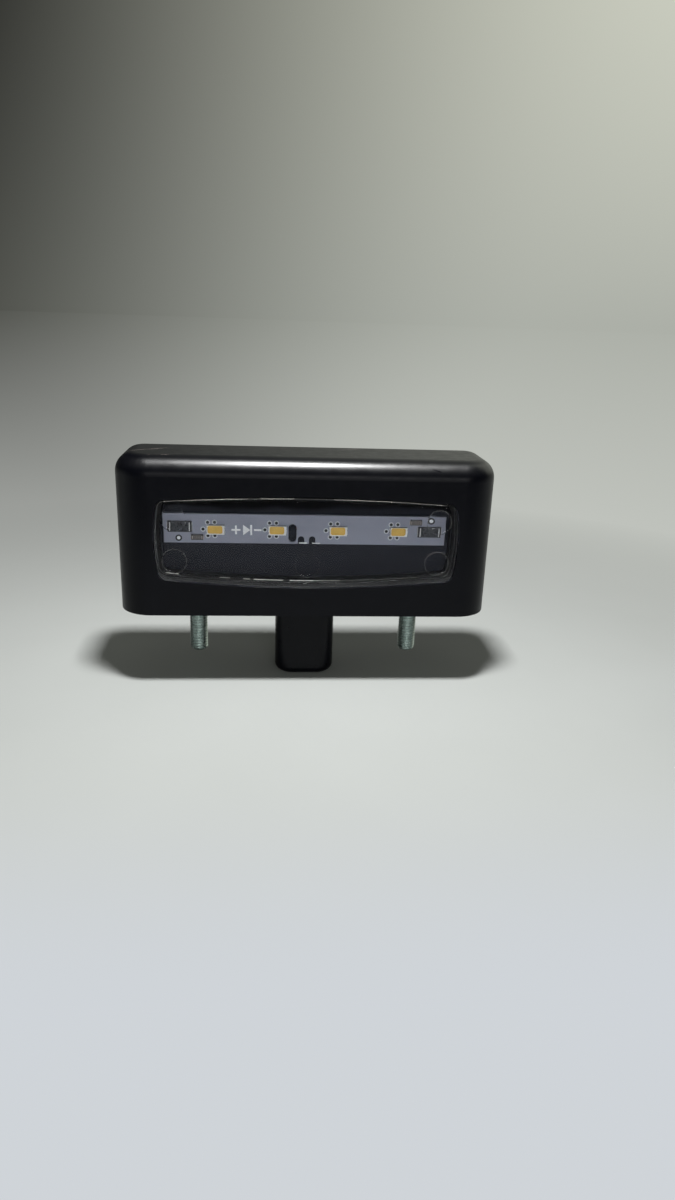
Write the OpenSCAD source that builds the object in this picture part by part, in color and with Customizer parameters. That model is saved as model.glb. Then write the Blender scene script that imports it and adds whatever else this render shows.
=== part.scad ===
// Number plate lamp with four light sources behind a clear lens.
// It stands on the end of its connector post, with the window facing -Y.
// The origin is the middle of that end, and +Z points up.

/* [Housing] */
// Width of the housing, from end to end
body_w = 100.4; // [94:0.2:120]
// Depth of the housing, from front to back
body_d = 26; // [25:0.5:32]
// Height of the housing above the mounting face
body_h = 42.2; // [40:0.2:52]
// Radius of the upright corners in front
corner_r = 9; // [7:0.5:10]
// Radius of the upright corners at the back
back_corner_r = 6.2; // [5.6:0.2:9]
// Radius round the top edge
top_edge_r = 5; // [1:0.25:5.5]
// Thickness of the walls
wall = 2.5; // [2.2:0.1:2.8]
// Thickness of the wall beside the base plate
rim_t = 1.3; // [1:0.1:1.5]

/* [Window] */
// Width of the window at mid height
window_w = 80.2; // [76:0.5:82]
// Height of the window at its middle
window_h = 24.7; // [22.6:0.1:26]
// Height of the window's middle above the mounting face
window_z = 20.25; // [19.5:0.25:21]
// Bow of the window's upper edge
top_bow = 1.4; // [0.6:0.1:2.4]
// Bow of the window's lower edge
bottom_bow = 2.2; // [0.6:0.1:2.4]
// Bow of the window's two ends
end_bow = 1.5; // [0.6:0.1:2.4]
// Radius of the window's corners
window_r = 2.6; // [1.8:0.2:3.6]
// Thickness of the frame that runs back from the window
frame_t = 1.6; // [1.2:0.1:1.8]
// Width of the lip that the lens is bonded to
lip_w = 1.2; // [1:0.1:1.6]
// Thickness of that lip
lip_t = 2.2; // [1.6:0.2:2.6]

/* [Lens] */
// Distance of the lens face behind the front of the housing
lens_recess = 0.2; // [0:0.1:0.4]
// Thickness of the pane
pane_t = 2.2; // [1.6:0.1:2.6]
// Thickness of the skirt round the pane
skirt_t = 1.2; // [1:0.1:1.4]
// Depth of the lens from its face to the end of its skirt
lens_depth = 5; // [4.2:0.2:5.6]
// Radius of the rounding round the face
face_edge_r = 0.8; // [0.4:0.1:1]
// Radius of the ejector marks on the back of the pane
mark_r = 3.4; // [2.4:0.2:3.6]
// Depth of the ejector marks
mark_depth = 0.15; // [0.1:0.05:0.3]
// Distance between the left and the right marks
mark_span_x = 70; // [66:1:70]
// Distance between the upper and the lower marks
mark_span_z = 11.4; // [9:0.2:11.6]
// Distance of the middle mark below the other lower marks
mark_mid_drop = 0.8; // [0:0.1:0.9]
// Thickness of the adhesive bead behind the skirt
lens_seal_t = 0.6; // [0.4:0.1:0.8]

/* [Board] */
// Length of the circuit board
board_w = 75.8; // [74:0.2:76]
// Height of the circuit board
board_h = 7.9; // [7.6:0.1:9]
// Thickness of the circuit board
board_t = 1; // [0.8:0.1:1.6]
// Height of the board's middle above the mounting face
board_z = 22.35; // [21.05:0.1:22.95]
// Distance between neighbouring light sources
led_pitch = 16.4; // [15:0.2:17]
// Width of a light source
led_w = 4.6; // [4:0.1:5.2]
// Height of a light source
led_h = 2.5; // [2.2:0.1:3.4]
// Thickness of a light source
led_t = 0.8; // [0.6:0.1:1.2]
// Width of the rim round the phosphor of a light source
led_rim = 0.25; // [0.2:0.05:0.4]
// Depth of the phosphor behind that rim
led_dish = 0.15; // [0.1:0.05:0.3]
// Distance of the row of light sources right of the board's middle
led_shift = 0.45; // [0:0.05:0.6]
// Distance of the row of light sources below the board's middle
led_drop = 0.25; // [0:0.05:0.4]
// Distance of the board's middle right of the middle of the lamp
board_x = -0.2; // [-0.4:0.1:0.4]
// Length of a large resistor
big_chip_w = 6.3; // [5:0.1:6.4]
// Height of a large resistor
big_chip_h = 2.9; // [2.6:0.1:3.4]
// Thickness of a large resistor
big_chip_t = 0.6; // [0.5:0.1:0.8]
// Place of the left large resistor, from the board's middle
big_left_at = [-33.6, 0.55];
// Place of the right large resistor, from the board's middle
big_right_at = [33.5, -0.2];
// Length of a small resistor
small_chip_w = 3.1; // [2:0.1:3.4]
// Height of a small resistor
small_chip_h = 1.5; // [1:0.1:1.8]
// Thickness of a small resistor
small_chip_t = 0.5; // [0.4:0.1:0.7]
// Place of the left small resistor, from the board's middle
small_left_at = [-29.1, -2.35];
// Place of the right small resistor, from the board's middle
small_right_at = [29.7, 2.4];
// Length of the rectifier on the back of the board
rectifier_w = 4.6; // [4:0.1:5]
// Height of the rectifier
rectifier_h = 2.7; // [2.4:0.1:3]
// Thickness of the rectifier
rectifier_t = 1.6; // [1:0.1:1.8]
// Distance of the rectifier from the middle of the board
rectifier_x = 16.6; // [12:0.2:20]
// Width of the slot in the board
slot_w = 2.2; // [1.8:0.1:2.4]
// Height of the slot in the board
slot_h = 5; // [4:0.1:5.2]
// Place of the slot's middle, from the board's middle
slot_at = [-3.7, -1.05];
// Radius of the two notches in the board's lower edge
notch_r = 0.9; // [0.6:0.1:1]
// Height of the notches
notch_h = 2.1; // [1.2:0.1:2.2]
// Distance between the two notches
notch_pitch = 3; // [2.6:0.1:3.2]
// Distance of the notches' middle right of the board's middle
notch_x = 0.15; // [0:0.05:0.4]

/* [Tray] */
// Thickness of the tray that carries the board
tray_t = 2; // [1.6:0.1:2.4]
// Radius of the peg that locates the board in its slot
peg_r = 0.6; // [0.5:0.05:0.7]
// Height of that peg above the tray
peg_h = 0.8; // [0.5:0.1:1.2]
// Thickness of the ribs that hold the tray against the lip
rib_t = 1.5; // [1:0.1:2]
// Distance that those ribs stand out from the end walls
rib_w = 1.6; // [1:0.1:2]

/* [Base] */
// Thickness of the base plate
base_t = 3; // [2.4:0.2:4]
// Thickness of the seal between base plate and housing
base_seal_t = 0.8; // [0.6:0.1:1.2]
// Width of the connector post
post_w = 16.5; // [15:0.5:20]
// Depth of the connector post
post_d = 14; // [12:0.5:16]
// Length of the connector post below the mounting face
post_len = 20; // [16:0.5:26]
// Radius of the post's upright corners
post_r = 5; // [4:0.2:5.6]
// Radius round the end of the post
post_edge_r = 2; // [1:0.1:2.2]
// Thickness of the socket's wall
socket_wall = 2.75; // [2.6:0.05:3]
// Depth of the socket in the post
socket_depth = 16; // [10:0.5:18]
// Thickness of the dam round the potting
dam_t = 1.2; // [1:0.1:1.6]
// Depth of the potting
potting_h = 3; // [2.4:0.1:3.2]
// Width of the potting round the contacts
potting_margin = 1.6; // [1.2:0.1:2]

/* [Studs] */
// Distance between the two studs
stud_pitch = 60; // [50:1:64]
// Nominal diameter of the studs
stud_d = 5; // [4:1:6]
// Length of the studs below the mounting face
stud_len = 14.7; // [10:0.1:18]
// Length of the chamfer at the end of a stud
stud_chamfer = 0.7; // [0.4:0.1:1]
// Length of the relief between the thread and the mounting face
relief_h = 0.8; // [0.4:0.1:1.2]
// Depth of the relief
relief_t = 0.4; // [0.2:0.05:0.6]
// Thickness of the collar round the stud in the base plate
collar_t = 0.5; // [0.3:0.1:0.8]
// Width across the flats of a stud's head
head_af = 8; // [7:0.5:10]
// Thickness of a stud's head
head_t = 3.5; // [3.3:0.1:4]
// Thickness of the boss round a stud's head
boss_t = 1.5; // [1.2:0.1:1.8]

/* [Contacts] */
// Distance between the two contacts
contact_pitch = 4.2; // [4:0.1:4.4]
// Thickness of a contact
contact_t = 0.8; // [0.6:0.1:1]
// Width of a contact
contact_w = 2.8; // [2.4:0.1:3.2]
// Distance of a contact's tip above the end of the post
contact_recess = 5; // [3:0.5:8]
// Distance that a contact's shoulder stands out on each side
shoulder_w = 0.7; // [0.4:0.1:1]
// Height of a contact's shoulder
shoulder_h = 1.2; // [0.8:0.1:1.6]
// Length of the cup that holds a lead
cup_h = 2.6; // [2:0.1:3]
// Thickness of the cup's floor
cup_floor = 0.8; // [0.5:0.1:1.2]
// Thickness of the cup's wall
cup_t = 0.35; // [0.3:0.05:0.4]
// Radius of a lead over its insulation
lead_r = 0.7; // [0.5:0.05:0.75]
// Radius of a lead's bend
lead_bend_r = 2.5; // [2:0.1:3]

/* [Fit] */
// Clearance of a piece that is slid into another
slide_gap = 0.2; // [0.1:0.05:0.3]
// Clearance round the lens in its window
lens_gap = 0.15; // [0.1:0.05:0.25]
// Clearance of a round piece in its hole
bore_gap = 0.1; // [0.05:0.05:0.15]

/* [Hidden] */
$fn = 64;
// Overrun of a cut past the face it opens
cut = 1;
// Segments in the rounding of the lens face
face_steps = 4;
// Segments in half an end, in a corner and in half a long edge of the window
end_steps = 4;
corner_steps = 8;
long_steps = 12;

// Heights above the end of the post
mount_z = post_len;
base_top = mount_z + base_t;
shoulder_z = base_top + base_seal_t;
roof_z = mount_z + body_h;
ceiling_z = roof_z - wall;
window_mid = mount_z + window_z;
board_mid = mount_z + board_z;

// Places from front to back
front_y = -body_d/2;
lens_y = front_y + lens_recess;
ledge_y = lens_y + lens_depth + lens_seal_t;
frame_y = ledge_y + lip_t;
tray_y = frame_y;
board_y = tray_y - board_t;

// Outlines inside the housing
cavity_w = body_w - 2*wall;
cavity_d = body_d - 2*wall;
cavity_r = corner_r - wall;
rebate_w = body_w - 2*rim_t;
rebate_d = body_d - 2*rim_t;
rebate_r = corner_r - rim_t;

// Base, studs and contacts
head_z = base_top;
head_top = head_z + head_t;
head_r = head_af/2/cos(30);
boss_r = head_r + slide_gap + boss_t;
socket_w = post_w - 2*socket_wall;
socket_d = post_d - 2*socket_wall;
socket_r = post_r - socket_wall;
potting_w = contact_pitch + contact_t + 2*potting_margin;
potting_d = contact_w + 2*shoulder_w + 2*potting_margin;
cup_r = lead_r + bore_gap + cup_t;
cup_z = base_top + potting_h;
lead_z = cup_z + cup_floor;
peg_x = board_x + slot_at.x;
peg_z = board_mid + slot_at.y + slot_h/2 - peg_r - slide_gap;
tray_foot = head_top;
tray_top = ceiling_z - slide_gap;
tray_back = tray_y + tray_t;
tray_w = 2*(cavity_half(tray_y) - slide_gap);
rib_y = tray_back + slide_gap;
rib_foot = shoulder_z + slide_gap;
rib_top = roof_z - top_edge_r;

// Half the width of the cavity at a distance in front of its middle
function cavity_half(y) =
    let (past = max(abs(y) - (cavity_d/2 - cavity_r), 0))
    cavity_w/2 - cavity_r + sqrt(cavity_r*cavity_r - past*past);

// Radius of an arc with a given half chord and bow
function bow_r(half, bow) = (half*half + bow*bow)/(2*bow);

// Centre of the circle that rounds the corner between two arcs, to the right of the
// line from the first centre to the second
function corner_at(c1, r1, c2, r2) =
    let (v = c2 - c1, d = norm(v), u = v/d, t = (r1*r1 - r2*r2 + d*d)/(2*d))
    c1 + t*u + sqrt(r1*r1 - t*t)*[u.y, -u.x];

// Solid along Y between two planes, from an outline in X and Z
module along_y(y0, y1) {
    translate([0, y1, 0]) rotate([90, 0, 0]) linear_extrude(y1 - y0) children();
}

// Rectangle with round corners
module rounded_rect(w, d, r) {
    square([w - 2*r, d], center = true);
    square([w, d - 2*r], center = true);
    for (x = [-1, 1], y = [-1, 1])
        translate([x*(w/2 - r), y*(d/2 - r)]) circle(r);
}

// Points of an arc after its first one
function arc(c, r, from, to, n) =
    [for (i = [1:n]) let (a = from + (to - from)*i/n) c + r*[cos(a), sin(a)]];

// A quarter of the bowed window outline, made larger all round by a margin: from the middle
// of the right end over the corner to the middle of the long edge
function quarter(bow, margin) =
    let (long_r = bow_r(window_w/2, bow), end_r = bow_r(window_h/2, end_bow),
         long_c = [0, window_h/2 - long_r], end_c = [window_w/2 - end_r, 0],
         corner = corner_at(long_c, long_r - window_r, end_c, end_r - window_r),
         low = atan2(corner.y - end_c.y, corner.x - end_c.x),
         high = atan2(corner.y - long_c.y, corner.x - long_c.x))
    concat([[window_w/2 + margin, 0]],
           arc(end_c, end_r + margin, 0, low, end_steps),
           arc(corner, window_r + margin, low, high, corner_steps),
           arc(long_c, long_r + margin, high, 90, long_steps));

// The points of a quarter turned over to another quarter of the outline
function flipped(points, x, y) = [for (p = points) [x*p.x, y*p.y]];

// The same points from last to first, without both ends
function back(points) = [for (i = [len(points) - 2:-1:1]) points[i]];

// Window outline in X and Z round its own middle
module window_shape(margin) {
    upper = quarter(top_bow, margin);
    lower = quarter(bottom_bow, margin);
    polygon(concat(upper, back(flipped(upper, -1, 1)), flipped(lower, -1, -1),
                   back(flipped(lower, 1, -1))));
}

// Places and radii of the four upright corners, from the right one at the back round to the
// right one in front, each with the angle at which its quarter circle starts
function corners(w, d, r, back_r) =
    [for (c = [[1, 1, 0, back_r], [-1, 1, 90, back_r], [-1, -1, 180, r], [1, -1, 270, r]])
        [c[0]*(w/2 - c[3]), c[1]*(d/2 - c[3]), c[2], c[3]]];

// What lies between the four corners, drawn in by a margin from the outside
module between_corners(w, d, r, back_r, margin) {
    translate([0, (r - back_r)/2]) square([w - 2*margin, d - r - back_r], center = true);
    translate([-w/2 + r, -d/2 + margin]) square([w - 2*r, r - margin]);
    translate([-w/2 + back_r, d/2 - back_r]) square([w - 2*back_r, back_r - margin]);
}

// A quarter round bar that lies along X from x = -l/2 to x = l/2, with its axis at the origin
module edge_bar(l, e) {
    rotate([90, 0, 90]) translate([0, 0, -l/2]) linear_extrude(l) intersection() {
        circle(e);
        square(e);
    }
}

// Section of a rounded edge at a corner: a square of size r with its outer corner rounded
module soft_edge(r, e) {
    square([r - e, e]);
    translate([r - e, 0]) intersection() {
        circle(e);
        square(e);
    }
}

// Block with round upright corners and a rounded upper edge, from z = 0 to z = h
module soft_block(w, d, h, r, back_r, e) {
    linear_extrude(h - e) {
        between_corners(w, d, r, back_r, 0);
        for (c = corners(w, d, r, back_r)) translate([c[0], c[1]]) circle(c[3]);
    }
    translate([0, 0, h - e]) {
        linear_extrude(e) between_corners(w, d, r, back_r, e);
        translate([0, d/2 - e, 0]) edge_bar(w - 2*back_r, e);
        translate([0, -d/2 + e, 0]) rotate([0, 0, 180]) edge_bar(w - 2*r, e);
        for (side = [-1, 1])
            translate([side*(w/2 - e), (r - back_r)/2, 0]) rotate([0, 0, -90*side])
                edge_bar(d - r - back_r, e);
        for (c = corners(w, d, r, back_r))
            translate([c[0], c[1], 0]) rotate([0, 0, c[2]])
                rotate_extrude(angle = 90) soft_edge(c[3], e);
    }
}

// Moulded cover with the window and the frame that the lens is bonded into
module housing() {
    color([0.05, 0.05, 0.055]) difference() {
        union() {
            difference() {
                translate([0, 0, mount_z])
                    soft_block(body_w, body_d, body_h, corner_r, back_corner_r, top_edge_r);
                translate([0, 0, mount_z - cut])
                    linear_extrude(ceiling_z - mount_z + cut)
                        rounded_rect(cavity_w, cavity_d, cavity_r);
                translate([0, 0, mount_z - cut])
                    linear_extrude(shoulder_z - mount_z + cut)
                        rounded_rect(rebate_w, rebate_d, rebate_r);
            }
            along_y(front_y + wall/2, frame_y)
                translate([0, window_mid]) window_shape(frame_t);
            for (x = [-1, 1])
                translate([x*(cavity_w/2 + wall/4 - rib_w/2), rib_y + rib_t/2,
                           (rib_foot + rib_top)/2])
                    cube([rib_w + wall/2, rib_t, rib_top - rib_foot], center = true);
        }
        along_y(front_y - cut, ledge_y) translate([0, window_mid]) window_shape(0);
        along_y(front_y - cut, frame_y + cut)
            translate([0, window_mid]) window_shape(-lip_w);
    }
}

// Pane of the lens with its rounded edge
module lens_pane() {
    hull()
        for (i = [0:face_steps]) {
            a = 90*i/face_steps;
            y = lens_y + face_edge_r*(1 - cos(a));
            along_y(y, lens_y + pane_t)
                window_shape(-lens_gap - face_edge_r*(1 - sin(a)));
        }
}

// Shallow round dent in the back of the pane
module ejector_mark(x, z) {
    translate([x, 0, z])
        along_y(lens_y + pane_t - mark_depth, lens_y + pane_t + cut) circle(mark_r);
}

// Clear lens: a pane with a skirt that reaches back to the lip
module lens() {
    color([0.85, 0.9, 0.95, 0.35]) translate([0, 0, window_mid]) difference() {
        union() {
            lens_pane();
            along_y(lens_y + pane_t, lens_y + lens_depth) window_shape(-lens_gap);
        }
        along_y(lens_y + pane_t, lens_y + lens_depth + cut)
            window_shape(-lens_gap - skirt_t);
        for (x = [-1, 1], z = [-1, 1])
            ejector_mark(x*mark_span_x/2, z*mark_span_z/2);
        ejector_mark(0, -mark_span_z/2 - mark_mid_drop);
    }
}

// Bead of adhesive between the skirt and the lip
module lens_seal() {
    color([0.06, 0.06, 0.065]) translate([0, 0, window_mid])
        along_y(ledge_y - lens_seal_t, ledge_y) difference() {
            window_shape(-lens_gap);
            window_shape(-lip_w);
        }
}

// Tray behind the window, which closes the frame and carries the board
module tray() {
    color([0.12, 0.12, 0.13]) {
        difference() {
            translate([-tray_w/2, tray_y, tray_foot])
                cube([tray_w, tray_t, tray_top - tray_foot]);
            for (x = [-1, 1])
                translate([x*contact_pitch/2, 0, board_mid])
                    along_y(tray_y - cut, tray_back + cut) circle(lead_r + slide_gap);
            translate([board_x + rectifier_x, (tray_y + tray_back)/2, board_mid])
                cube([rectifier_w + 2*slide_gap, tray_t + 2*cut, rectifier_h + 2*slide_gap],
                     center = true);
        }
        translate([peg_x, 0, peg_z]) along_y(tray_y - peg_h, tray_y) circle(peg_r);
    }
}

// Board outline with its slot and notches, round its own middle
module board_shape() {
    difference() {
        square([board_w, board_h], center = true);
        translate(slot_at) {
            square([slot_w, slot_h - slot_w], center = true);
            for (z = [-1, 1])
                translate([0, z*(slot_h - slot_w)/2]) circle(slot_w/2);
        }
        for (x = [-1, 1])
            translate([notch_x + x*notch_pitch/2, -board_h/2]) {
                translate([-notch_r, -cut]) square([2*notch_r, notch_h - notch_r + cut]);
                translate([0, notch_h - notch_r]) circle(notch_r);
            }
    }
}

// Circuit board
module circuit_board() {
    color([0.8, 0.82, 0.88]) translate([board_x, 0, board_mid])
        along_y(board_y, tray_y) board_shape();
}

// Block on the front of the board, by its size and its place from the board's middle
module on_board(w, t, h, at) {
    translate([board_x + at.x - w/2, board_y - t, board_mid + at.y - h/2]) cube([w, t, h]);
}

// Light source with its phosphor in a shallow dish
module led(i) {
    x = led_shift + (i - 2.5)*led_pitch;
    color([0.95, 0.85, 0.4]) difference() {
        on_board(led_w, led_t, led_h, [x, -led_drop]);
        translate([0, led_dish - led_t, 0])
            on_board(led_w - 2*led_rim, led_t, led_h - 2*led_rim, [x, -led_drop]);
    }
}

// Large resistor
module big_chip(at) {
    color([0.15, 0.15, 0.16]) on_board(big_chip_w, big_chip_t, big_chip_h, at);
}

// Small resistor
module small_chip(at) {
    color([0.45, 0.42, 0.4]) on_board(small_chip_w, small_chip_t, small_chip_h, at);
}

// Rectifier on the back of the board, in the tray's opening
module rectifier() {
    color([0.1, 0.1, 0.1]) translate([board_x + rectifier_x, tray_y + rectifier_t/2, board_mid])
        cube([rectifier_w, rectifier_t, rectifier_h], center = true);
}

// Base plate in one piece with the connector post, the bosses and the potting dam
module base() {
    color([0.05, 0.05, 0.055]) difference() {
        union() {
            translate([0, 0, mount_z]) linear_extrude(base_t)
                rounded_rect(rebate_w - 2*slide_gap, rebate_d - 2*slide_gap,
                             rebate_r - slide_gap);
            translate([0, 0, mount_z]) mirror([0, 0, 1])
                soft_block(post_w, post_d, post_len, post_r, post_r, post_edge_r);
            for (x = [-1, 1])
                translate([x*stud_pitch/2, 0, base_top]) cylinder(h = head_t, r = boss_r);
            translate([-potting_w/2 - dam_t, -potting_d/2 - dam_t, base_top])
                cube([potting_w + 2*dam_t, potting_d + 2*dam_t, potting_h]);
        }
        translate([0, 0, -cut]) linear_extrude(socket_depth + cut)
            rounded_rect(socket_w, socket_d, socket_r);
        translate([-potting_w/2, -potting_d/2, base_top]) cube([potting_w, potting_d, potting_h + cut]);
        for (x = [-1, 1]) {
            translate([x*stud_pitch/2, 0, mount_z - cut])
                cylinder(h = base_t + 2*cut, r = stud_d/2 + collar_t + bore_gap);
            translate([x*stud_pitch/2, 0, base_top])
                cylinder(h = head_t + cut, r = head_r + slide_gap, $fn = 6);
            translate([x*contact_pitch/2 - contact_t/2, -contact_w/2, socket_depth - cut])
                cube([contact_t, contact_w, base_top - socket_depth + 2*cut]);
        }
    }
}

// Seal between the base plate and the shoulder in the housing
module base_seal() {
    color([0.2, 0.2, 0.2]) translate([0, 0, base_top]) linear_extrude(base_seal_t)
        difference() {
            rounded_rect(rebate_w - 2*slide_gap, rebate_d - 2*slide_gap, rebate_r - slide_gap);
            rounded_rect(cavity_w, cavity_d, cavity_r);
        }
}

// Mounting stud, with its head in the base's hexagonal pocket
module stud(side) {
    r = stud_d/2;
    tip = mount_z - stud_len;
    color([0.72, 0.74, 0.73]) translate([side*stud_pitch/2, 0, 0]) {
        rotate_extrude() polygon([[0, tip], [r - stud_chamfer, tip], [r, tip + stud_chamfer],
                                  [r, mount_z - relief_h], [r - relief_t, mount_z - relief_h],
                                  [r - relief_t, mount_z], [r + collar_t, mount_z],
                                  [r + collar_t, head_z], [0, head_z]]);
        translate([0, 0, head_z]) cylinder(h = head_t, r = head_r, $fn = 6);
    }
}

// Flat contact with a shoulder on the base and a cup for its lead
module contact(side) {
    color([0.8, 0.78, 0.7]) translate([side*contact_pitch/2, 0, 0]) {
        translate([-contact_t/2, -contact_w/2, contact_recess])
            cube([contact_t, contact_w, cup_z - contact_recess]);
        translate([-contact_t/2, -contact_w/2 - shoulder_w, base_top])
            cube([contact_t, contact_w + 2*shoulder_w, shoulder_h]);
        difference() {
            translate([0, 0, cup_z]) cylinder(h = cup_h, r = cup_r);
            translate([0, 0, lead_z]) cylinder(h = cup_h, r = lead_r + bore_gap);
        }
    }
}

// Insulated lead from a contact's cup to the back of the board
module lead(side) {
    color([0.5, 0.1, 0.1]) translate([side*contact_pitch/2, 0, 0]) {
        translate([0, 0, lead_z]) cylinder(h = board_mid - lead_bend_r - lead_z, r = lead_r);
        translate([0, -lead_bend_r, board_mid - lead_bend_r]) rotate([90, 0, 90])
            rotate_extrude(angle = 90) translate([lead_bend_r, 0]) circle(lead_r);
        translate([0, -lead_bend_r, board_mid]) rotate([90, 0, 0])
            cylinder(h = -lead_bend_r - tray_y, r = lead_r);
    }
}

// Resin that seals the contacts on top of the base
module potting() {
    color([0.08, 0.08, 0.09]) difference() {
        translate([-potting_w/2, -potting_d/2, base_top])
            cube([potting_w, potting_d, potting_h]);
        for (x = [-1, 1])
            translate([x*contact_pitch/2, 0, 0]) {
                translate([-contact_t/2, -contact_w/2, base_top - cut])
                    cube([contact_t, contact_w, potting_h + 2*cut]);
                translate([-contact_t/2, -contact_w/2 - shoulder_w, base_top - cut])
                    cube([contact_t, contact_w + 2*shoulder_w, shoulder_h + cut]);
            }
    }
}

housing();
base();
base_seal();
lens();
lens_seal();
tray();
circuit_board();
led(1);  // led_1
led(2);  // led_2
led(3);  // led_3
led(4);  // led_4
big_chip(big_left_at);  // resistor_left
big_chip(big_right_at);  // resistor_right
small_chip(small_left_at);  // small_resistor_left
small_chip(small_right_at);  // small_resistor_right
rectifier();
stud(-1);  // stud_left
stud(1);  // stud_right
contact(-1);  // contact_left
contact(1);  // contact_right
lead(-1);  // lead_left
lead(1);  // lead_right
potting();
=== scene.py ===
import math

import bmesh
import bpy
from mathutils import Matrix, Vector


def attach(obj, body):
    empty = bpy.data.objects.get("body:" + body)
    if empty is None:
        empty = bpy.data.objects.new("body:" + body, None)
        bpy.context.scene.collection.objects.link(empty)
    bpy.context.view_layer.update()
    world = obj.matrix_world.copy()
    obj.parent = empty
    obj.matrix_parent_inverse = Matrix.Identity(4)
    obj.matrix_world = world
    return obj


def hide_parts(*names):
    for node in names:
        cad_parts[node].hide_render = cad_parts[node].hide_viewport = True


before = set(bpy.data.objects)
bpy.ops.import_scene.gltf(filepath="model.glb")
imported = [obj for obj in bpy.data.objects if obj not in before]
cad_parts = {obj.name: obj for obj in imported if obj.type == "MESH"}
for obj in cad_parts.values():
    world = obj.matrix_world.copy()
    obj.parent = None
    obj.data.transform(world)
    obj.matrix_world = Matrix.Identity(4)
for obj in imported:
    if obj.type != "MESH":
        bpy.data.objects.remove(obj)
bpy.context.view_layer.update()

MM = 0.001

# Sizes in millimetres, in the frame of the CAD
WINDOW_MID = 40.25
WINDOW_W, WINDOW_H = 80.2, 24.7
TOP_BOW, BOTTOM_BOW, END_BOW = 1.4, 2.2, 1.5
WINDOW_R = 2.6
LENS_Y = -12.8
LENS_GAP = 0.15
LENS_DEPTH = 5.0
PANE_T = 2.2
SKIRT_T = 1.2
FACE_R = 0.45
MARK_R = 3.4
MARK_DEPTH = 0.15
MARKS = [(-35, 34.55), (35, 34.55), (-35, 45.95), (35, 45.95), (0, 33.75)]

BOARD_X, BOARD_MID = -0.2, 42.35
BOARD_W, BOARD_H = 75.8, 7.9
BOARD_Y, TRAY_Y = -6.0, -5.0
LED_X = [-24.35, -7.95, 8.45, 24.85]
LED_Z = 42.1
LED_W, LED_H, LED_T = 4.6, 2.5, 0.8
VIAS = [(-2.12, 1.90), (-0.28, 1.93), (-3.34, 0.05), (-2.13, -1.73), (-0.28, -1.71)]
VIA_R = 0.43
SLOT_W, SLOT_H, SLOT_AT = 2.2, 5.0, (-3.7, -1.05)
NOTCH_R, NOTCH_H = 0.9, 2.1
NOTCH_MID, NOTCH_PITCH = 0.15, 3.0
BIG_CHIP, SMALL_CHIP = (6.3, 2.9, 0.6), (3.1, 1.5, 0.5)
BIG_CHIP_AT = [(-33.6, 0.55), (33.5, -0.2)]
SMALL_CHIP_AT = [(-29.1, -2.35), (29.7, 2.4)]
FIDUCIALS = [(-34.2, 39.7), (33.8, 45.1)]
DOT_R, RING_R = 0.47, 0.88
MARKS_Z, STROKE = 42.05, 0.5

STUD_X = 30.0
MOUNT_Z, HEAD_Z, HEAD_TOP = 20.0, 23.0, 26.5
STUD_TIP = 5.3
STUD_R, ROOT_R, PITCH = 2.5, 2.03, 0.8
COLLAR_R, HEAD_R = 3.0, 4 / math.cos(math.pi / 6)
CHAMFER, RELIEF, HEAD_CHAMFER = 0.75, 0.42, 0.3

# Colours of light: the dark room that the lamp mirrors, the floor before the camera, and the even light
DARK_ROOM = (0.016, 0.017, 0.018)
FRONT_FLOOR = (0.625, 0.657, 0.69)
EVEN_LIGHT = (0.086, 0.088, 0.078)

# Clear plastic: its tint, how it bends light in the pane and the rim, and its tint for the lamps' light
CLEAR = (0.94, 0.955, 0.975)
PANE_IOR, RIM_IOR = 1.17, 1.2
LAMP_TINT = (0.93, 0.94, 0.95)

# Camera: angles in degrees, place in millimetres
YAW, PITCH_DOWN, ROLL = -5.1262, 19.3435, 2.0466
CAMERA_AT = (-10.157, -218.749, 97.212)
FOCAL = 24.362


# Meshes

def new_object(name, mesh, smooth=35):
    """An object in the scene, with its edges kept crisp above an angle."""
    obj = bpy.data.objects.new(name, mesh)
    bpy.context.scene.collection.objects.link(obj)
    mesh.shade_smooth()
    mesh.set_sharp_from_angle(angle=math.radians(smooth))
    return obj


def from_bmesh(name, bm, smooth=35):
    bmesh.ops.recalc_face_normals(bm, faces=bm.faces)
    mesh = bpy.data.meshes.new(name)
    bm.to_mesh(mesh)
    bm.free()
    return new_object(name, mesh, smooth)


def add_loops(bm, loops, first_cap=False, last_cap=False, materials=None):
    """Skins closed loops of points in millimetres; caps fill the first or the last loop."""
    rings = [[bm.verts.new([c * MM for c in p]) for p in loop] for loop in loops]
    for k, (a, b) in enumerate(zip(rings, rings[1:])):
        for i in range(len(a)):
            j = (i + 1) % len(a)
            face = bm.faces.new((a[i], a[j], b[j], b[i]))
            if materials:
                face.material_index = materials[k]
    if first_cap:
        bm.faces.new(rings[0][::-1])
    if last_cap:
        face = bm.faces.new(rings[-1])
        if materials:
            face.material_index = materials[-1]
    return rings


def arc(centre, r, a0, a1, n):
    """Points of an arc in a plane, without its first one; angles in degrees."""
    step = [math.radians(a0 + (a1 - a0) * i / n) for i in range(1, n + 1)]
    return [(centre[0] + r * math.cos(a), centre[1] + r * math.sin(a)) for a in step]


def circle(x, z, r, n=32, a0=0.0):
    return [(x + r * math.cos(a0 + 2 * math.pi * i / n),
             z + r * math.sin(a0 + 2 * math.pi * i / n)) for i in range(n)]


def rounded(w, h, r, x=0.0, z=0.0, n=5):
    """Rectangle with round corners, round its middle."""
    out = []
    for sx, sz, a in ((1, 1, 0), (-1, 1, 90), (-1, -1, 180), (1, -1, 270)):
        cx, cz = x + sx * (w / 2 - r), z + sz * (h / 2 - r)
        out += [(cx + r * math.cos(math.radians(a + 90 * i / n)),
                 cz + r * math.sin(math.radians(a + 90 * i / n))) for i in range(n + 1)]
    return out


def at_y(points, y):
    return [(p[0], y, p[1]) for p in points]


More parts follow.
